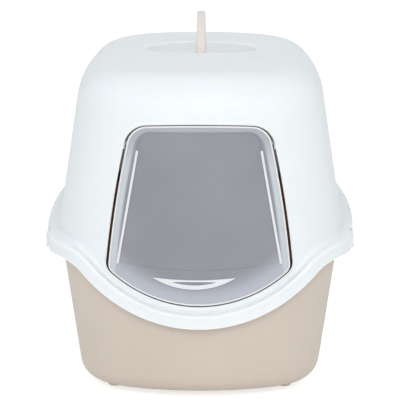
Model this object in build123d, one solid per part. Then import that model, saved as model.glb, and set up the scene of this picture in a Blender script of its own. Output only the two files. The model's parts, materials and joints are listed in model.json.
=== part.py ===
from build123d import *
from math import hypot, radians, sqrt, tan
import os

# Cat litter box with a hood. Millimetres. +Z is up, the door faces -Y, and the origin lies on the floor
# under the middle of the box.

# ---- driving dimensions -------------------------------------------------------------------------------
RIM_HALF_WIDTH = 200.0      # widest point of the hood's skirt
RIM_HALF_LENGTH = 280.0     # front and rear ends of the skirt
HOOD_HEIGHT = 400.0         # top of the shell, above the floor
WALL = 2.4                  # moulded wall
RUNNING = 0.12              # radial play of a moulded pin in its socket
PIN_END_PLAY = 1.0

# plan of the rim: a bowed oblong made of four arcs, with rounded corners
RIM_SIDE_RADIUS = 1600.0
RIM_FRONT_RADIUS = 300.0
RIM_REAR_RADIUS = 420.0
RIM_FRONT_CORNER = 110.0
RIM_REAR_CORNER = 120.0

# front view of the rim: a wide sag under the door, which rises to level sides
SAG_RADIUS = 201.0
SHOULDER_RADIUS = 45.0
RIM_LEVEL = 173.0           # underside of the skirt along the sides
RIM_DIP = 97.3              # underside of the skirt under the door
SKIRT_HEIGHT = 17.0
LEDGE_EDGE_RADIUS = 3.5
LEDGE_CREASE_RADIUS = 5.0

# hood shell
HOOD_BASE = 90.0            # level at which the shell's plan is drawn
HOOD_FRONT = -270.0         # front of the shell at that level
HOOD_LEAN = 8.6             # degrees, all round
HOOD_CORNER = 135.0
HOOD_TOP_RADIUS = 50.0
CROWN_RADIUS = 2000.0

# door
DOOR_TOP = 343.0
DOOR_BOTTOM = 122.0
DOOR_TOP_HALF_WIDTH = 87.0
DOOR_SPLAY = 0.162          # half-width gained per millimetre down
DOOR_SIDE_BULGE = 3.1       # of the bowed sides, half-way down
DOOR_SAG_RADIUS = 180.0
DOOR_TOP_BOW = 900.0
DOOR_TOP_CORNER = 30.0
DOOR_BOTTOM_CORNER = 16.0
SMALLEST_CORNER = 6.0
DOOR_LIP_WIDTH = 5.0
DOOR_LIP_PROUD = 0.9
DOOR_REBATE = 1.6           # the opening is wider behind its edge, for the flap to swing past
DOOR_EDGE_THICKNESS = 1.0
FLAP_SIDE_GAP = 3.3
FLAP_END_GAP = 1.4
FLAP_THICKNESS = 2.6
FLAP_SET_BACK = 0.4
PANEL_SET_BACK = 0.8
PANEL_BORDER = 13.8
PANEL_TOP_BORDER = 8.0
PANEL_BOTTOM = 166.0
PANEL_BOTTOM_BOW = 700.0
EDGE_BEAD_WIDTH = 2.0       # raised line along the flap's edge
EDGE_BEAD_PROUD = 0.4
RIB_TOP = 308.0             # half-round ribs beside the panel
RIB_BOTTOM = 172.0
RIB_TOP_X = 76.1
RIB_BOTTOM_X = 100.2
RIB_RADIUS = 2.2
RIB_PROUD = 0.9

# door hinge: moulded pins on the flap, sockets behind the hood's front wall
FLAP_AXIS_Y = -213.0
FLAP_AXIS_Z = 317.0
FLAP_PIN_RADIUS = 3.2
FLAP_PIN_END = 95.5
FLAP_EAR_INNER = 82.9
FLAP_EAR_OUTER = 87.0
FLAP_SOCKET_INNER = 91.9
FLAP_SOCKET_OUTER = 98.5
FLAP_SOCKET_RADIUS = 6.5
FLAP_EAR_RADIUS = 5.2
DOOR_CUT_END = -185.0       # well behind the front wall

# crescent grip on the flap: a raised half moon round a lens-shaped finger pocket, left of the middle
GRIP_CENTRE_X = -6.0
GRIP_HALF_WIDTH = 51.0
GRIP_TIP = 157.0
GRIP_TOP = 154.8
GRIP_BOTTOM = 143.7
GRIP_PROUD = 2.2
LENS_HALF_WIDTH = 27.0
LENS_TIP = 152.4
LENS_TOP = 152.9
LENS_BOTTOM = 148.6

# recess in the top, with the handle's bearings
RECESS_CENTRE_Y = 42.0
RECESS_HALF_X = 73.5
RECESS_HALF_Y = 58.5
RECESS_FLOOR = 370.0
RECESS_EDGE_RADIUS = 2.0
BEARING_WIDTH = 23.5
BEARING_PROUD = 3.0
BEARING_DEPTH = 9.0
BEARING_TOP = 398.0
BEARING_BOTTOM = 377.0

# carrying handle
HANDLE_AXIS_Z = 391.0
HANDLE_RISE = 57.0
HANDLE_HALF_SPAN = 52.0
HANDLE_BAND = 10.5
HANDLE_WIDTH = 11.4
HANDLE_LEG = 5.6
HANDLE_PIN_RADIUS = 4.0
HANDLE_PIN_END = RECESS_HALF_Y + BEARING_DEPTH - 2.5
HANDLE_EDGE_RADIUS = 3.2

# tray
TRAY_HALF_WIDTH = 156.7
TRAY_FRONT = -257.0
TRAY_REAR = 246.0
TRAY_FLOOR = 7.0
TRAY_FLARE = 8.3            # degrees
TRAY_CORNER = 80.0
TRAY_SIDE_RADIUS = 1600.0
TRAY_FRONT_RADIUS = 255.0
TRAY_REAR_RADIUS = 400.0
TRAY_BOTTOM_RADIUS = 28.0
FLANGE_TOP = 14.2           # heights above the skirt's underside
FLANGE_THICKNESS = 2.6
FLANGE_LIP_BOTTOM = 3.0
FLANGE_INSET = 3.0          # play and skirt wall between the lip and the rim's outline
FOOT_X = 107.0
FOOT_Y = 185.0
FOOT_RADIUS = 9.0
FOOT_EDGE_RADIUS = 2.0

# side clips, on the skirt
CLIP_CENTRE_Y = -128.0
CLIP_HALF_LENGTH = 14.0
CLIP_POCKET_HALF_LENGTH = 14.5
CLIP_KNUCKLE_LENGTH = 4.5
CLIP_FACE = 196.4           # outer face
CLIP_AXIS_X = 194.1
CLIP_AXIS_Z = RIM_LEVEL + 11.5
CLIP_BARREL_RADIUS = 2.3
CLIP_PIN_RADIUS = 1.1
CLIP_PIN_LENGTH = 3.4
CLIP_PLATE_THICKNESS = 3.6
CLIP_EDGE_RADIUS = 1.0
CLIP_BOTTOM = RIM_LEVEL - 4.0
CLIP_POCKET_BACK = 191.5
CLIP_PIN_END_PLAY = 0.35
CLIP_NOTCH_DEPTH = 0.5      # of the flat behind a clip, past the pocket's back
CLIP_NOTCH_MARGIN = 1.0

REACH = 400.0               # half-size of construction solids
MEETING_STEPS = 30          # of the sums that close in on the point where two arcs meet


# ---- outlines -----------------------------------------------------------------------------------------
def sagitta(radius, half_chord):
    """Depth of an arc over a chord."""
    return radius - sqrt(radius**2 - half_chord**2)


def corner_point(half_width, side_radius, end, end_radius):
    """Where a bowed side meets a bowed end."""
    x = half_width
    y = end
    inwards = -1 if end > 0 else 1
    for _ in range(MEETING_STEPS):
        y = end + inwards * sagitta(end_radius, x)
        x = half_width - sagitta(side_radius, y)
    return x, y


def bowed_plan(half_width, side_radius, front, front_radius, front_corner, rear, rear_radius, rear_corner):
    """Face at Z = 0: four bowed sides with rounded corners."""
    front_x, front_y = corner_point(half_width, side_radius, front, front_radius)
    rear_x, rear_y = corner_point(half_width, side_radius, rear, rear_radius)
    arcs = [
        ThreePointArc((-front_x, front_y), (0, front), (front_x, front_y)),
        ThreePointArc((front_x, front_y), (half_width, 0), (rear_x, rear_y)),
        ThreePointArc((rear_x, rear_y), (0, rear), (-rear_x, rear_y)),
        ThreePointArc((-rear_x, rear_y), (-half_width, 0), (-front_x, front_y)),
    ]
    face = Face(Wire(arcs))
    face = face.fillet_2d(front_corner, face.vertices().sort_by(Axis.Y)[:2])
    return face.fillet_2d(rear_corner, face.vertices().sort_by(Axis.Y)[-2:])


def prism(face, bottom, top, taper=0.0):
    """A face drawn at Z = 0, raised to bottom and extruded to top."""
    return extrude(Pos(0, 0, bottom) * face, top - bottom, dir=(0, 0, 1), taper=taper)


def front_prism(face, front, rear):
    """A face drawn on the XZ plane, extruded along Y."""
    return extrude(Pos(0, rear, 0) * face, rear - front, dir=(0, -1, 0))


def rim_prism(inset, bottom, top):
    """The rim's outline, moved inwards."""
    plan = bowed_plan(
        RIM_HALF_WIDTH - inset,
        RIM_SIDE_RADIUS - inset,
        -RIM_HALF_LENGTH + inset,
        RIM_FRONT_RADIUS - inset,
        RIM_FRONT_CORNER - inset,
        RIM_HALF_LENGTH - inset,
        RIM_REAR_RADIUS - inset,
        RIM_REAR_CORNER - inset,
    )
    return prism(plan, bottom, top)


def below_rim(raised):
    """Everything below the rim's wavy line, with that line raised."""
    sag_centre = RIM_DIP + SAG_RADIUS
    shoulder_centre = RIM_LEVEL - SHOULDER_RADIUS
    drop = sag_centre - shoulder_centre
    shoulder_x = sqrt((SAG_RADIUS + SHOULDER_RADIUS) ** 2 - drop**2)
    sag = SAG_RADIUS - raised
    shoulder = SHOULDER_RADIUS + raised
    across = shoulder_x / hypot(shoulder_x, drop)
    down = drop / hypot(shoulder_x, drop)
    meet_x = sag * across
    meet_z = sag_centre - sag * down
    level = RIM_LEVEL + raised
    # a point of the shoulder arc half-way round its turn
    half_turn_x = across / hypot(across, 1 + down)
    half_turn_z = (1 + down) / hypot(across, 1 + down)
    mid_x = shoulder_x - shoulder * half_turn_x
    mid_z = shoulder_centre + shoulder * half_turn_z
    line = [
        Line((-REACH, 0, level), (-shoulder_x, 0, level)),
        ThreePointArc((-shoulder_x, 0, level), (-mid_x, 0, mid_z), (-meet_x, 0, meet_z)),
        ThreePointArc((-meet_x, 0, meet_z), (0, 0, sag_centre - sag), (meet_x, 0, meet_z)),
        ThreePointArc((meet_x, 0, meet_z), (mid_x, 0, mid_z), (shoulder_x, 0, level)),
        Line((shoulder_x, 0, level), (REACH, 0, level)),
        Line((REACH, 0, level), (REACH, 0, -REACH)),
        Line((REACH, 0, -REACH), (-REACH, 0, -REACH)),
        Line((-REACH, 0, -REACH), (-REACH, 0, level)),
    ]
    front = front_prism(Face(Wire(line)), -REACH, 0)
    rear = Pos(0, REACH / 2, (level - REACH) / 2) * Box(2 * REACH, REACH, level + REACH)
    return front + rear


def dome(inset):
    """The hood's leaning, crowned body, moved inwards."""
    plan = bowed_plan(
        RIM_HALF_WIDTH - inset,
        RIM_SIDE_RADIUS - inset,
        HOOD_FRONT + inset,
        RIM_FRONT_RADIUS - inset,
        HOOD_CORNER - inset,
        RIM_HALF_LENGTH - inset,
        RIM_REAR_RADIUS - inset,
        HOOD_CORNER - inset,
    )
    sides = prism(plan, HOOD_BASE, HOOD_HEIGHT + WALL, HOOD_LEAN)
    crown_axis = HOOD_HEIGHT - CROWN_RADIUS
    crown = Pos(0, 0, crown_axis) * Rot(90, 0, 0) * Cylinder(CROWN_RADIUS - inset, 2 * REACH)
    body = sides & crown
    top_edges = body.faces().sort_by(Axis.Z)[-1].edges()
    return fillet(top_edges, HOOD_TOP_RADIUS - inset)


def door_outline(side_gap, end_gap):
    """Face on the XZ plane: the door opening, made smaller by a gap."""
    top = DOOR_TOP - end_gap
    sag_centre = DOOR_BOTTOM + DOOR_SAG_RADIUS
    sag_radius = DOOR_SAG_RADIUS - end_gap
    top_x = DOOR_TOP_HALF_WIDTH - side_gap
    bottom_x = top_x
    bottom_z = DOOR_BOTTOM
    for _ in range(MEETING_STEPS):
        bottom_z = sag_centre - sqrt(sag_radius**2 - bottom_x**2)
        bottom_x = top_x + DOOR_SPLAY * (DOOR_TOP - bottom_z)
    corner_z = top - sagitta(DOOR_TOP_BOW, top_x)
    corner_x = top_x + DOOR_SPLAY * (DOOR_TOP - corner_z)
    middle_x = (corner_x + bottom_x) / 2 + DOOR_SIDE_BULGE
    middle_z = (corner_z + bottom_z) / 2
    line = [
        ThreePointArc((-corner_x, 0, corner_z), (0, 0, top), (corner_x, 0, corner_z)),
        ThreePointArc((corner_x, 0, corner_z), (middle_x, 0, middle_z), (bottom_x, 0, bottom_z)),
        ThreePointArc((bottom_x, 0, bottom_z), (0, 0, sag_centre - sag_radius), (-bottom_x, 0, bottom_z)),
        ThreePointArc((-bottom_x, 0, bottom_z), (-middle_x, 0, middle_z), (-corner_x, 0, corner_z)),
    ]
    face = Face(Wire(line))
    top_corner = max(DOOR_TOP_CORNER - side_gap, SMALLEST_CORNER)
    face = face.fillet_2d(top_corner, face.vertices().sort_by(Axis.Z)[-2:])
    bottom_corner = max(DOOR_BOTTOM_CORNER - side_gap, SMALLEST_CORNER)
    return face.fillet_2d(bottom_corner, face.vertices().sort_by(Axis.Z)[:2])


def cylinder_along_x(start, end, y, z, radius):
    return Pos((start + end) / 2, y, z) * Rot(0, 90, 0) * Cylinder(radius, abs(end - start))


def cylinder_along_y(start, end, x, z, radius):
    return Pos(x, (start + end) / 2, z) * Rot(90, 0, 0) * Cylinder(radius, abs(end - start))


def block(x_range, y_range, z_range):
    size = [high - low for low, high in (x_range, y_range, z_range)]
    centre = [(high + low) / 2 for low, high in (x_range, y_range, z_range)]
    return Pos(*centre) * Box(*size)


# ---- tray ---------------------------------------------------------------------------------------------
def tray_bowl(inset):
    """The tray's flared body, moved inwards."""
    plan = bowed_plan(
        TRAY_HALF_WIDTH - inset,
        TRAY_SIDE_RADIUS - inset,
        TRAY_FRONT + inset,
        TRAY_FRONT_RADIUS - inset,
        TRAY_CORNER - inset,
        TRAY_REAR - inset,
        TRAY_REAR_RADIUS - inset,
        TRAY_CORNER - inset,
    )
    bowl = prism(plan, TRAY_FLOOR + inset, RIM_LEVEL + 4 * SKIRT_HEIGHT, -TRAY_FLARE)
    bottom_edges = bowl.faces().sort_by(Axis.Z)[0].edges()
    return fillet(bottom_edges, TRAY_BOTTOM_RADIUS - inset)


def tray_foot(x, y):
    foot = Pos(x, y, 0) * Cylinder(FOOT_RADIUS, 2 * TRAY_FLOOR)
    foot &= block((-REACH, REACH), (-REACH, REACH), (0, REACH))
    return fillet(foot.edges().sort_by(Axis.Z)[0], FOOT_EDGE_RADIUS)


def clip_notch(side):
    """Flat in the rim's lip, behind a clip."""
    reach = CLIP_POCKET_HALF_LENGTH + CLIP_KNUCKLE_LENGTH + CLIP_NOTCH_MARGIN
    return block(
        sorted((side * (CLIP_POCKET_BACK - CLIP_NOTCH_DEPTH), side * REACH)),
        (CLIP_CENTRE_Y - reach, CLIP_CENTRE_Y + reach),
        (0, RIM_LEVEL + SKIRT_HEIGHT),
    )


def make_tray():
    top = below_rim(FLANGE_TOP)
    lip_inset = FLANGE_INSET + WALL
    outside = rim_prism(FLANGE_INSET, 0, RIM_LEVEL + SKIRT_HEIGHT)
    flange = (outside & top) - below_rim(FLANGE_TOP - FLANGE_THICKNESS)
    lip = (outside & top) - rim_prism(lip_inset, -1, 2 * RIM_LEVEL) - below_rim(FLANGE_LIP_BOTTOM)
    tray = (tray_bowl(0) & top) + flange + lip
    for x in (-FOOT_X, FOOT_X):
        for y in (-FOOT_Y, FOOT_Y):
            tray += tray_foot(x, y)
    for side in (-1, 1):
        tray -= clip_notch(side)
    return tray - tray_bowl(WALL)


# ---- hood ---------------------------------------------------------------------------------------------
def recess_ellipse(grow):
    return Pos(0, RECESS_CENTRE_Y) * Ellipse(RECESS_HALF_X + grow, RECESS_HALF_Y + grow)


def hood_outside():
    """Solid hood: the domed body on its ledge, with rounded edges and the handle's recess in the top."""
    ledge = rim_prism(0, 0, 2 * RIM_LEVEL) & below_rim(SKIRT_HEIGHT)
    top_edges = [edge for edge in ledge.edges() if edge.bounding_box().min.Z > RIM_DIP]
    curved_edges = [edge for edge in top_edges if edge.geom_type != GeomType.LINE]
    # the sag ends in a hidden step across the middle of the box, which is not part of the outline
    ledge_edges = [edge for edge in curved_edges if edge.bounding_box().size.Y > 1]
    ledge = fillet(ledge_edges, LEDGE_EDGE_RADIUS)
    shell = dome(0)
    body = shell + ledge
    body = body.fillet(LEDGE_CREASE_RADIUS, new_edges(shell, ledge, combined=body))
    body -= prism(recess_ellipse(0), RECESS_FLOOR, HOOD_HEIGHT + WALL)
    high_edges = [edge for edge in body.edges() if edge.bounding_box().min.Z > RECESS_FLOOR + WALL]
    recess_edges = [edge for edge in high_edges if abs(edge.bounding_box().size.X - 2 * RECESS_HALF_X) < 1]
    return fillet(recess_edges, RECESS_EDGE_RADIUS)


def hood_inside():
    """The hood's hollow, which leaves the ledge's lower side, the skirt and the recess's cup standing."""
    ledge = rim_prism(WALL, 0, 2 * RIM_LEVEL) & below_rim(SKIRT_HEIGHT - WALL)
    cup = prism(recess_ellipse(WALL), RECESS_FLOOR - WALL, HOOD_HEIGHT + WALL)
    return dome(WALL) + ledge - cup


def door_lip():
    """Low bead on the shell round the door."""
    skin = dome(-DOOR_LIP_PROUD) - dome(WALL)
    ring = front_prism(door_outline(-DOOR_LIP_WIDTH, -DOOR_LIP_WIDTH), -REACH, DOOR_CUT_END)
    return (skin & ring) - below_rim(SKIRT_HEIGHT - WALL)


def flap_sockets():
    """Bearings for the flap's pins, on the inside of the front wall."""
    sockets = []
    for side in (-1, 1):
        inner = side * FLAP_SOCKET_INNER
        outer = side * FLAP_SOCKET_OUTER
        barrel = cylinder_along_x(inner, outer, FLAP_AXIS_Y, FLAP_AXIS_Z, FLAP_SOCKET_RADIUS)
        half = FLAP_SOCKET_RADIUS
        web = block(
            sorted((inner, outer)),
            (FLAP_AXIS_Y - 4 * half, FLAP_AXIS_Y),
            (FLAP_AXIS_Z - half, FLAP_AXIS_Z + half),
        )
        sockets.append(barrel + web)
    return sockets


def handle_bearings():
    """Blocks in the recess's front and rear walls that the handle's pins turn in."""
    bearings = []
    for side in (-1, 1):
        face = RECESS_CENTRE_Y + side * (RECESS_HALF_Y - BEARING_PROUD)
        back = RECESS_CENTRE_Y + side * (RECESS_HALF_Y + BEARING_DEPTH)
        bearings.append(
            block(
                (-BEARING_WIDTH / 2, BEARING_WIDTH / 2),
                sorted((face, back)),
                (BEARING_BOTTOM, BEARING_TOP),
            )
        )
    return bearings


def clip_pads(side):
    """Thick ends of a clip's pocket, which hold its pins."""
    pads = []
    for end in (-1, 1):
        near = CLIP_CENTRE_Y + end * CLIP_POCKET_HALF_LENGTH
        far = near + end * CLIP_KNUCKLE_LENGTH
        pad = block(
            sorted((side * CLIP_POCKET_BACK, side * CLIP_FACE)),
            sorted((near, far)),
            (RIM_LEVEL, CLIP_AXIS_Z + CLIP_BARREL_RADIUS),
        )
        pads.append(pad)
    return pads


def clip_pocket(side):
    near = CLIP_CENTRE_Y - CLIP_POCKET_HALF_LENGTH
    far = CLIP_CENTRE_Y + CLIP_POCKET_HALF_LENGTH
    return block(
        sorted((side * CLIP_POCKET_BACK, side * REACH)),
        (near, far),
        (RIM_LEVEL - SKIRT_HEIGHT, RIM_LEVEL + 2 * SKIRT_HEIGHT),
    )


def make_hood():
    hood = hood_outside() - hood_inside() + door_lip()
    hood -= front_prism(door_outline(0, 0), -REACH, DOOR_CUT_END)
    rebate = front_prism(door_outline(-DOOR_REBATE, -DOOR_REBATE), -REACH, DOOR_CUT_END)
    hood -= rebate & dome(DOOR_EDGE_THICKNESS)

    # handle bearings
    for bearing in handle_bearings():
        hood += bearing
    front_end = RECESS_CENTRE_Y - HANDLE_PIN_END - PIN_END_PLAY
    rear_end = RECESS_CENTRE_Y + HANDLE_PIN_END + PIN_END_PLAY
    hood -= cylinder_along_y(front_end, rear_end, 0, HANDLE_AXIS_Z, HANDLE_PIN_RADIUS + RUNNING)

    # flap bearings
    for socket in flap_sockets():
        hood += socket & dome(WALL / 2)
    for side in (-1, 1):
        bore_end = side * (FLAP_PIN_END + PIN_END_PLAY)
        bore_radius = FLAP_PIN_RADIUS + RUNNING
        hood -= cylinder_along_x(side * FLAP_EAR_INNER, bore_end, FLAP_AXIS_Y, FLAP_AXIS_Z, bore_radius)

    # clip pockets
    for side in (-1, 1):
        for pad in clip_pads(side):
            hood += pad
        hood -= clip_pocket(side)
        pin_reach = CLIP_HALF_LENGTH + CLIP_PIN_LENGTH + CLIP_PIN_END_PLAY
        hood -= cylinder_along_y(
            CLIP_CENTRE_Y - pin_reach,
            CLIP_CENTRE_Y + pin_reach,
            side * CLIP_AXIS_X,
            CLIP_AXIS_Z,
            CLIP_PIN_RADIUS + RUNNING,
        )
    return hood - below_rim(0)


# ---- flap ---------------------------------------------------------------------------------------------
def lens(half_width, tip, top, bottom):
    """Face on the XZ plane between two arcs that meet at two tips."""
    left = (-half_width, 0, tip)
    right = (half_width, 0, tip)
    return Face(Wire([ThreePointArc(left, (0, 0, bottom), right), ThreePointArc(right, (0, 0, top), left)]))


def panel_cut():
    """The flap's middle panel, as a prism."""
    outline = door_outline(FLAP_SIDE_GAP + PANEL_BORDER, FLAP_END_GAP + PANEL_TOP_BORDER)
    axis_z = PANEL_BOTTOM + PANEL_BOTTOM_BOW
    bottom = Pos(0, 0, axis_z) * Rot(90, 0, 0) * Cylinder(PANEL_BOTTOM_BOW, 2 * REACH)
    return front_prism(outline, -REACH, DOOR_CUT_END) & bottom


def edge_bead():
    """Raised line along the flap's edge."""
    whole = front_prism(door_outline(FLAP_SIDE_GAP, FLAP_END_GAP), -REACH, DOOR_CUT_END)
    side_inset = FLAP_SIDE_GAP + EDGE_BEAD_WIDTH
    end_inset = FLAP_END_GAP + EDGE_BEAD_WIDTH
    middle = front_prism(door_outline(side_inset, end_inset), -REACH, DOOR_CUT_END)
    skin = dome(FLAP_SET_BACK - EDGE_BEAD_PROUD) - dome(FLAP_SET_BACK + WALL / 2)
    return (whole - middle) & skin


def flap_surface_y(x, z):
    """The flap's outer face at a point of the front view."""
    radius = RIM_FRONT_RADIUS - FLAP_SET_BACK - (z - HOOD_BASE) * tan(radians(HOOD_LEAN))
    return HOOD_FRONT + RIM_FRONT_RADIUS - sqrt(radius**2 - x**2)


def side_rib(side):
    """Half-round rib along one side of the middle panel."""
    ends = []
    for x, z in ((RIB_BOTTOM_X, RIB_BOTTOM), (RIB_TOP_X, RIB_TOP)):
        ends.append(Vector(side * x, flap_surface_y(x, z) + RIB_RADIUS - RIB_PROUD, z))
    along = ends[1] - ends[0]
    rod = Plane(origin=(ends[0] + ends[1]) / 2, z_dir=along) * Cylinder(RIB_RADIUS, along.length)
    for end in ends:
        rod += Pos(end) * Sphere(RIB_RADIUS)
    return rod - dome(FLAP_SET_BACK + WALL / 2)


def grip():
    """Half moon that stands out near the flap's lower edge, with a finger pocket in it."""
    moon = front_prism(lens(GRIP_HALF_WIDTH, GRIP_TIP, GRIP_TOP, GRIP_BOTTOM), -REACH, FLAP_AXIS_Y)
    pocket = front_prism(lens(LENS_HALF_WIDTH, LENS_TIP, LENS_TOP, LENS_BOTTOM), -REACH, FLAP_AXIS_Y)
    skin = dome(FLAP_SET_BACK - GRIP_PROUD) - dome(FLAP_SET_BACK + WALL / 2)
    aside = Pos(GRIP_CENTRE_X, 0, 0)
    return (aside * moon & skin) - (aside * pocket - dome(FLAP_SET_BACK))


def flap_ear(side):
    """Lug at a top corner of the flap, which carries its pin."""
    inner = side * FLAP_EAR_INNER
    outer = side * FLAP_EAR_OUTER
    ear = cylinder_along_x(inner, outer, FLAP_AXIS_Y, FLAP_AXIS_Z, FLAP_EAR_RADIUS)
    ear += block(
        sorted((inner, outer)),
        (FLAP_AXIS_Y - 4 * FLAP_EAR_RADIUS, FLAP_AXIS_Y),
        (FLAP_AXIS_Z - FLAP_EAR_RADIUS, FLAP_AXIS_Z + FLAP_EAR_RADIUS),
    )
    pin = cylinder_along_x(inner, side * FLAP_PIN_END, FLAP_AXIS_Y, FLAP_AXIS_Z, FLAP_PIN_RADIUS)
    return (ear & dome(FLAP_SET_BACK + WALL / 2)) + pin


def make_flap():
    outline = front_prism(door_outline(FLAP_SIDE_GAP, FLAP_END_GAP), -REACH, DOOR_CUT_END)
    flap = (dome(FLAP_SET_BACK) - dome(FLAP_SET_BACK + FLAP_THICKNESS)) & outline
    flap -= panel_cut() - dome(FLAP_SET_BACK + PANEL_SET_BACK)
    flap += edge_bead()
    flap += grip()
    for side in (-1, 1):
        flap += side_rib(side)
        flap += flap_ear(side)
    return flap


# ---- carrying handle ----------------------------------------------------------------------------------
def make_handle():
    upper = Pos(0, REACH / 2) * Rectangle(REACH, REACH)
    opening = Ellipse(HANDLE_HALF_SPAN - HANDLE_BAND, HANDLE_RISE - HANDLE_BAND)
    arch = (Ellipse(HANDLE_HALF_SPAN, HANDLE_RISE) - opening) & upper
    for side in (-1, 1):
        leg_centre = side * (HANDLE_HALF_SPAN - HANDLE_BAND / 2)
        arch += Pos(leg_centre, -HANDLE_LEG / 2) * Rectangle(HANDLE_BAND, HANDLE_LEG)
    plane = Plane(origin=(0, RECESS_CENTRE_Y, HANDLE_AXIS_Z), x_dir=(0, 1, 0), z_dir=(1, 0, 0))
    handle = extrude(plane * arch, HANDLE_WIDTH / 2, both=True)
    handle = fillet(handle.edges(), HANDLE_EDGE_RADIUS)
    for side in (-1, 1):
        inner = RECESS_CENTRE_Y + side * (HANDLE_HALF_SPAN - HANDLE_BAND / 2)
        outer = RECESS_CENTRE_Y + side * HANDLE_PIN_END
        handle += cylinder_along_y(inner, outer, 0, HANDLE_AXIS_Z, HANDLE_PIN_RADIUS)
    return handle


# ---- side clips ---------------------------------------------------------------------------------------
def make_clip(side):
    near = CLIP_CENTRE_Y - CLIP_HALF_LENGTH
    far = CLIP_CENTRE_Y + CLIP_HALF_LENGTH
    clip = block(
        sorted((side * (CLIP_FACE - CLIP_PLATE_THICKNESS), side * CLIP_FACE)),
        (near, far),
        (CLIP_BOTTOM, CLIP_AXIS_Z),
    )
    face = clip.faces().sort_by(Axis.X)[0 if side < 0 else -1]
    outer_edges = [edge for edge in face.edges() if edge.center().Z < CLIP_AXIS_Z - 1]
    clip = fillet(outer_edges, CLIP_EDGE_RADIUS)
    clip += cylinder_along_y(near, far, side * CLIP_AXIS_X, CLIP_AXIS_Z, CLIP_BARREL_RADIUS)
    return clip + cylinder_along_y(
        near - CLIP_PIN_LENGTH, far + CLIP_PIN_LENGTH, side * CLIP_AXIS_X, CLIP_AXIS_Z, CLIP_PIN_RADIUS
    )


os.makedirs("parts", exist_ok=True)
pieces = {
    "tray": make_tray(),
    "hood": make_hood(),
    "flap": make_flap(),
    "carry_handle": make_handle(),
    "left_side_clip": make_clip(-1),
    "right_side_clip": make_clip(1),
}
for name, piece in pieces.items():
    export_step(piece, f"parts/{name}.step")
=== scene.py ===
"""Looks of the hooded cat litter box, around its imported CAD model. Metres, +Z up, the door faces -Y."""

import json
import math

import bpy
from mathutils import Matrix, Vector

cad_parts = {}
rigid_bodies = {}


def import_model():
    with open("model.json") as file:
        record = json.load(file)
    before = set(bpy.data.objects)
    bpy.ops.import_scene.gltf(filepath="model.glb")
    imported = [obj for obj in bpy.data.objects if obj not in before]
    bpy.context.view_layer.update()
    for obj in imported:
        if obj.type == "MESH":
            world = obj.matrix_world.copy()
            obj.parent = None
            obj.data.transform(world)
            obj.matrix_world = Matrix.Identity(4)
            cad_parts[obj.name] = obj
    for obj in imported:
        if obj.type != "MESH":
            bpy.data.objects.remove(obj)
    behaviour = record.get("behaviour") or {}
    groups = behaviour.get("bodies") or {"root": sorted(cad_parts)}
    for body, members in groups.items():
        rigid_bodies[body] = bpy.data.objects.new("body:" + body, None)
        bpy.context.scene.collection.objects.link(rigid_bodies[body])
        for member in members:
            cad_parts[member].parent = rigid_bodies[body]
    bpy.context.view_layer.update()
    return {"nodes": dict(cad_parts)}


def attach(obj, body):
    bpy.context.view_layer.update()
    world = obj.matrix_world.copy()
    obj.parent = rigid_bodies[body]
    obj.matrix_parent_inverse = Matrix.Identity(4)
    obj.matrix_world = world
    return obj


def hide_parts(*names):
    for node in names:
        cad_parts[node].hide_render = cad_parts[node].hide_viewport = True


# ---- camera, on the door's side -----------------------------------------------------------------------
CAMERA_DISTANCE = 3.0
CAMERA_ELEVATION = math.radians(12.0)
CAMERA_AZIMUTH = math.radians(0.55)         # towards the right of the door
CAMERA_TARGET = Vector((-0.0013, 0.0, 0.2))
CAMERA_LENS = 202.5                         # millimetres, like the sensor's width
CAMERA_SENSOR_WIDTH = 36.0
CAMERA_CLIP_END = 50.0

# ---- stage and light ----------------------------------------------------------------------------------
FLOOR_SIZE = 12.0
FLOOR_GREY = (0.75, 0.75, 0.75, 1)
FLOOR_WHITE = 0.62                          # emission seen by the camera
FLOOR_GLOW = 0.18                           # emission that lights the object
STUDIO_COLOR = (0.95, 0.98, 0.995, 1)
STUDIO_STRENGTH = 0.775
WHITE = (1, 1, 1, 1)

# ---- the flap's outer face: a bowed wall that leans back ----------------------------------------------
WALL_FRONT = -0.270                         # at the height of WALL_BASE
WALL_BASE = 0.090
WALL_BOW = 0.300
WALL_LEAN = math.radians(8.6)
FLAP_SET_BACK = 0.0004

TRIM_PROUD = 0.0002                         # what stands out more than this is raised trim, which gets a painted highlight

# ---- the flap's outline in the front view -------------------------------------------------------------
FLAP_TOP_HALF_WIDTH = 0.0837                # at FLAP_TOP
FLAP_SPLAY = 0.162                          # half-width gained per metre down
FLAP_SIDE_BULGE = 0.0031                    # of the bowed sides, half-way down
FLAP_SIDE_HEIGHT = 0.182                    # from the top down to the lower corners
FLAP_TOP = 0.343                            # top of the door's opening
FLAP_SAG_CENTRE = 0.302                     # of the arc along its lower edge
FLAP_SAG_RADIUS = 0.1786
FLAP_TOP_CORNER = 0.0267

# ---- the flap's borders, each fading out between two distances from the edge --------------------------
BORDER_FULL = 0.0075                        # along the top and the sides
BORDER_END = 0.0115
LOW_BORDER_FULL = 0.004
LOW_BORDER_END = 0.034
TOP_SHADE_FULL = 0.012                      # the upper border is less pale towards the top
TOP_SHADE_END = 0.060
TOP_SHADE = 0.55
PANEL_ROUGHNESS = 0.08
BORDER_ROUGHNESS = 0.25

for old in list(bpy.data.objects):
    bpy.data.objects.remove(old)
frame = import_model()


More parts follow.
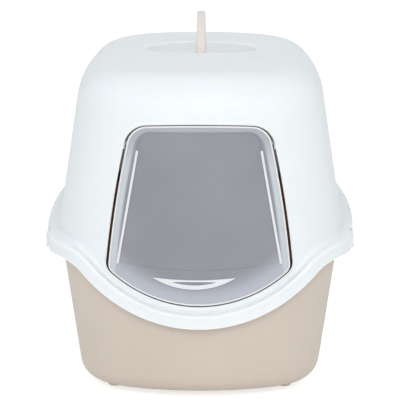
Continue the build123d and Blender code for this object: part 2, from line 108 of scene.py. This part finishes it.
def add_camera():
    data = bpy.data.cameras.new("camera")
    data.lens = CAMERA_LENS
    data.sensor_width = CAMERA_SENSOR_WIDTH
    data.clip_end = CAMERA_CLIP_END
    camera = bpy.data.objects.new("camera", data)
    bpy.context.scene.collection.objects.link(camera)
    level = math.cos(CAMERA_ELEVATION)
    side = math.sin(CAMERA_AZIMUTH)
    back = Vector((level * side, -level * math.cos(CAMERA_AZIMUTH), math.sin(CAMERA_ELEVATION)))
    camera.location = CAMERA_TARGET + CAMERA_DISTANCE * back
    camera.rotation_euler = (math.pi / 2 - CAMERA_ELEVATION, 0.0, CAMERA_AZIMUTH)
    bpy.context.scene.camera = camera


def add_floor():
    """A lit studio table: it looks white, and throws a little light up at the object."""
    bpy.ops.mesh.primitive_plane_add(size=FLOOR_SIZE, location=(0, 0, 0))
    floor = bpy.context.object
    floor.name = "floor"
    material, tree, shader = new_material("floor")
    shader.inputs["Base Color"].default_value = FLOOR_GREY
    shader.inputs["Roughness"].default_value = 0.9
    shader.inputs["Specular IOR Level"].default_value = 0.1
    path = tree.nodes.new("ShaderNodeLightPath")
    glow = tree.nodes.new("ShaderNodeMapRange")
    glow.inputs["To Min"].default_value = FLOOR_GLOW
    glow.inputs["To Max"].default_value = FLOOR_WHITE
    tree.links.new(path.outputs["Is Camera Ray"], glow.inputs["Value"])
    tree.links.new(glow.outputs["Result"], shader.inputs["Emission Strength"])
    shader.inputs["Emission Color"].default_value = WHITE
    floor.data.materials.append(material)


def add_area_light(name, location, target, size, power, color):
    """Soft box that faces its target."""
    data = bpy.data.lights.new(name, "AREA")
    data.shape = "RECTANGLE"
    data.size, data.size_y = size
    data.energy = power
    data.color = color
    light = bpy.data.objects.new(name, data)
    bpy.context.scene.collection.objects.link(light)
    light.location = location
    direction = Vector(target) - Vector(location)
    light.rotation_euler = direction.to_track_quat("-Z", "Y").to_euler()


def add_world():
    """Even light from all round. The paper sweep that the camera sees behind the object is plain white."""
    world = bpy.data.worlds.new("studio")
    world.use_nodes = True
    tree = world.node_tree
    background = tree.nodes["Background"]
    background.inputs["Color"].default_value = STUDIO_COLOR
    background.inputs["Strength"].default_value = STUDIO_STRENGTH
    sweep = tree.nodes.new("ShaderNodeBackground")
    sweep.inputs["Color"].default_value = WHITE
    path = tree.nodes.new("ShaderNodeLightPath")
    mix = tree.nodes.new("ShaderNodeMixShader")
    tree.links.new(path.outputs["Is Camera Ray"], mix.inputs[0])
    tree.links.new(background.outputs[0], mix.inputs[1])
    tree.links.new(sweep.outputs[0], mix.inputs[2])
    tree.links.new(mix.outputs[0], tree.nodes["World Output"].inputs["Surface"])
    bpy.context.scene.world = world


# ---- materials ----------------------------------------------------------------------------------------
def new_material(name):
    """A material with its node tree and its shader."""
    material = bpy.data.materials.new(name)
    material.use_nodes = True
    return material, material.node_tree, material.node_tree.nodes["Principled BSDF"]


def cloudy_color(tree, shader, scale, dark, light):
    """A slow, faint change of colour over the moulding. Returns its coordinates, noise and colour."""
    position = tree.nodes.new("ShaderNodeTexCoord")
    cloud = tree.nodes.new("ShaderNodeTexNoise")
    cloud.inputs["Scale"].default_value = scale
    cloud.inputs["Detail"].default_value = 3.0
    tree.links.new(position.outputs["Object"], cloud.inputs["Vector"])
    ramp = tree.nodes.new("ShaderNodeValToRGB")
    ramp.color_ramp.elements[0].position = 0.35
    ramp.color_ramp.elements[0].color = (*dark, 1)
    ramp.color_ramp.elements[1].position = 0.65
    ramp.color_ramp.elements[1].color = (*light, 1)
    tree.links.new(cloud.outputs["Fac"], ramp.inputs["Fac"])
    tree.links.new(ramp.outputs["Color"], shader.inputs["Base Color"])
    return position, cloud, ramp.outputs["Color"]


def add_grain(tree, shader, position, scale, height, strength):
    """Fine texture of the mould's surface."""
    speckle = tree.nodes.new("ShaderNodeTexNoise")
    speckle.inputs["Scale"].default_value = scale
    speckle.inputs["Detail"].default_value = 2.0
    tree.links.new(position.outputs["Object"], speckle.inputs["Vector"])
    bump = tree.nodes.new("ShaderNodeBump")
    bump.inputs["Strength"].default_value = strength
    bump.inputs["Distance"].default_value = height
    tree.links.new(speckle.outputs["Fac"], bump.inputs["Height"])
    tree.links.new(bump.outputs["Normal"], shader.inputs["Normal"])


def vary_roughness(tree, shader, cloud, middle, spread):
    """Duller and glossier patches, in step with the colour."""
    span = tree.nodes.new("ShaderNodeMapRange")
    span.inputs["To Min"].default_value = middle - spread
    span.inputs["To Max"].default_value = middle + spread
    tree.links.new(cloud.outputs["Fac"], span.inputs["Value"])
    tree.links.new(span.outputs["Result"], shader.inputs["Roughness"])


def moulded_plastic(name, dark, light, roughness):
    """Satin injection-moulded polypropylene, which lets a little light through."""
    material, tree, shader = new_material(name)
    position, cloud, _ = cloudy_color(tree, shader, 9.0, dark, light)
    add_grain(tree, shader, position, scale=900.0, height=0.0004, strength=0.3)
    vary_roughness(tree, shader, cloud, middle=roughness, spread=0.05)
    shader.inputs["Specular IOR Level"].default_value = 0.45
    shader.inputs["Subsurface Weight"].default_value = 0.6
    shader.inputs["Subsurface Radius"].default_value = (1.0, 0.8, 0.7)
    shader.inputs["Subsurface Scale"].default_value = 0.006
    return material


def polish(shader, transmission, coat):
    """What makes the flap's plastic see-through and glossy."""
    shader.inputs["Transmission Weight"].default_value = transmission
    shader.inputs["IOR"].default_value = 1.49
    shader.inputs["Coat Weight"].default_value = coat
    shader.inputs["Coat Roughness"].default_value = 0.05


def trim_painted_highlight_plastic(name, dark, light):
    """The flap's raised trim: its pale colour is a painted highlight, over a real gloss."""
    material, tree, shader = new_material(name)
    position, cloud, _ = cloudy_color(tree, shader, 14.0, dark, light)
    add_grain(tree, shader, position, scale=60.0, height=0.0002, strength=0.05)
    vary_roughness(tree, shader, cloud, middle=0.15, spread=0.02)
    polish(shader, transmission=0.10, coat=0.5)
    return material


class Maths:
    """Short calls for the sums in a material."""

    def __init__(self, tree):
        self.tree = tree

    def op(self, kind, *values):
        node = self.tree.nodes.new("ShaderNodeMath")
        node.operation = kind
        for socket, value in zip(node.inputs, values):
            if isinstance(value, (int, float)):
                socket.default_value = value
            else:
                self.tree.links.new(value, socket)
        return node.outputs[0]

    def fade(self, value, start, end):
        """1 up to start, falling smoothly to 0 at end."""
        node = self.tree.nodes.new("ShaderNodeMapRange")
        node.interpolation_type = "SMOOTHSTEP"
        node.inputs["From Min"].default_value = start
        node.inputs["From Max"].default_value = end
        node.inputs["To Min"].default_value = 1.0
        node.inputs["To Max"].default_value = 0.0
        self.tree.links.new(value, node.inputs["Value"])
        return node.outputs[0]


def mixed_color(tree, share, low, high):
    """The colour low where share is 0 and high where it is 1. Low is a socket, high is a plain colour."""
    node = tree.nodes.new("ShaderNodeMix")
    node.data_type = "RGBA"
    factor, start, end = (node.inputs[index] for index in (0, 6, 7))
    tree.links.new(share, factor)
    tree.links.new(low, start)
    end.default_value = (*high, 1)
    return node.outputs[2]


def low_border_share(maths, x, z):
    """1 along the flap's sagging lower edge, 0 further in."""
    above_centre = maths.op("SUBTRACT", z, FLAP_SAG_CENTRE)
    x_square = maths.op("MULTIPLY", x, x)
    squares = maths.op("MULTIPLY_ADD", above_centre, above_centre, x_square)
    from_bottom = maths.op("SUBTRACT", FLAP_SAG_RADIUS, maths.op("SQRT", squares))
    return maths.fade(from_bottom, LOW_BORDER_FULL, LOW_BORDER_END)


def upper_border_share(maths, x, z):
    """1 along the flap's sides, less along its top, 0 further in."""
    down = maths.op("SUBTRACT", FLAP_TOP, z)
    straight = maths.op("MULTIPLY_ADD", down, FLAP_SPLAY, FLAP_TOP_HALF_WIDTH)
    bow = maths.op("SINE", maths.op("MULTIPLY", down, math.pi / FLAP_SIDE_HEIGHT))
    half_width = maths.op("MULTIPLY_ADD", bow, FLAP_SIDE_BULGE, straight)
    from_side = maths.op("SUBTRACT", half_width, maths.op("ABSOLUTE", x))
    # the top and side edges meet in a round corner
    short_side = maths.op("MAXIMUM", maths.op("SUBTRACT", FLAP_TOP_CORNER, from_side), 0.0)
    short_top = maths.op("MAXIMUM", maths.op("SUBTRACT", FLAP_TOP_CORNER, down), 0.0)
    side_square = maths.op("MULTIPLY", short_side, short_side)
    corner = maths.op("MULTIPLY_ADD", short_top, short_top, side_square)
    from_edge = maths.op("SUBTRACT", FLAP_TOP_CORNER, maths.op("SQRT", corner))
    shade = maths.fade(down, TOP_SHADE_FULL, TOP_SHADE_END)
    kept = maths.op("MULTIPLY_ADD", shade, -TOP_SHADE, 1.0)
    return maths.op("MULTIPLY", maths.fade(from_edge, BORDER_FULL, BORDER_END), kept)


def flap_plastic(name, panel_dark, panel_light, upper_border, low_border):
    """Smoky see-through plastic: a polished tinted panel that turns paler and duller near its edges."""
    material, tree, shader = new_material(name)
    position, _, panel = cloudy_color(tree, shader, 11.0, panel_dark, panel_light)
    add_grain(tree, shader, position, scale=60.0, height=0.0002, strength=0.05)
    polish(shader, transmission=0.25, coat=0.4)

    split = tree.nodes.new("ShaderNodeSeparateXYZ")
    tree.links.new(position.outputs["Object"], split.inputs[0])
    x = split.outputs["X"]
    z = split.outputs["Z"]
    maths = Maths(tree)
    low = low_border_share(maths, x, z)
    upper = upper_border_share(maths, x, z)
    color = mixed_color(tree, low, panel, low_border)
    color = mixed_color(tree, upper, color, upper_border)
    tree.links.new(color, shader.inputs["Base Color"])
    dull = maths.op("MAXIMUM", upper, low)
    roughness = maths.op("MULTIPLY_ADD", dull, BORDER_ROUGHNESS - PANEL_ROUGHNESS, PANEL_ROUGHNESS)
    tree.links.new(roughness, shader.inputs["Roughness"])
    return material


def give(node, material):
    """A CAD node keeps its own mesh and gets a finish."""
    mesh = frame["nodes"][node].data
    mesh.materials.clear()
    mesh.materials.append(material)


# ---- flap ---------------------------------------------------------------------------------------------
# the second material index is for the raised trim, whose pale colour is a painted highlight
CLEAR, TRIM_PAINTED_HIGHLIGHT = range(2)


def proud_of_wall(point):
    """How far a point stands out of the flap's outer face, along Y."""
    radius = WALL_BOW - FLAP_SET_BACK - (point.z - WALL_BASE) * math.tan(WALL_LEAN)
    surface = WALL_FRONT + WALL_BOW - math.sqrt(radius**2 - point.x**2)
    return surface - point.y


def flap_clear_or_painted_highlight(face):
    """The raised edge, ribs and grip get a painted highlight, a paler colour than the rest of the flap."""
    return TRIM_PAINTED_HIGHLIGHT if proud_of_wall(face.center) > TRIM_PROUD else CLEAR


def add_flap(clear, trim):
    """The flap again, as one moulding whose raised trim gets a painted highlight."""
    node = frame["nodes"]["flap"]
    piece = node.copy()
    piece.data = node.data.copy()
    piece.name = "flap_moulding"
    piece.data.name = "flap_moulding"
    bpy.context.scene.collection.objects.link(piece)
    mesh = piece.data
    mesh.materials.clear()
    mesh.materials.append(clear)
    mesh.materials.append(trim)
    for face in mesh.polygons:
        face.material_index = flap_clear_or_painted_highlight(face)
    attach(piece, "flap")
    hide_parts("flap")


# ---- the pieces ---------------------------------------------------------------------------------------
white = moulded_plastic("hood_white", (0.87, 0.882, 0.885), (0.89, 0.897, 0.90), 0.42)
taupe = moulded_plastic("tray_taupe", (0.635, 0.547, 0.475), (0.655, 0.567, 0.495), 0.48)
blush = moulded_plastic("handle_blush", (0.72, 0.665, 0.63), (0.74, 0.685, 0.65), 0.45)
give("hood", white)
give("left_side_clip", white)
give("right_side_clip", white)
give("tray", taupe)
give("carry_handle", blush)
add_flap(
    flap_plastic(
        "flap_smoke",
        panel_dark=(0.33, 0.33, 0.37),
        panel_light=(0.36, 0.36, 0.40),
        upper_border=(0.69, 0.735, 0.775),
        low_border=(0.575, 0.595, 0.665),
    ),
    # the raised trim's pale colour is a painted highlight
    trim_painted_highlight_plastic("flap_trim_painted_highlight", (0.80, 0.82, 0.84), (0.84, 0.86, 0.88)),
)

# ---- the stage ----------------------------------------------------------------------------------------
add_camera()
add_floor()
add_world()
add_area_light(
    "key",
    location=(0.1, -2.7, 1.8),
    target=(0, 0, 0.25),
    size=(4.0, 1.8),
    power=40.0,
    color=(1, 0.99, 0.985),
)
add_area_light(
    "top",
    location=(0, 0.2, 2.8),
    target=(0, 0, 0),
    size=(2.4, 2.4),
    power=3.0,
    color=(0.85, 0.96, 1),
)
bpy.context.scene.view_settings.view_transform = "Standard"
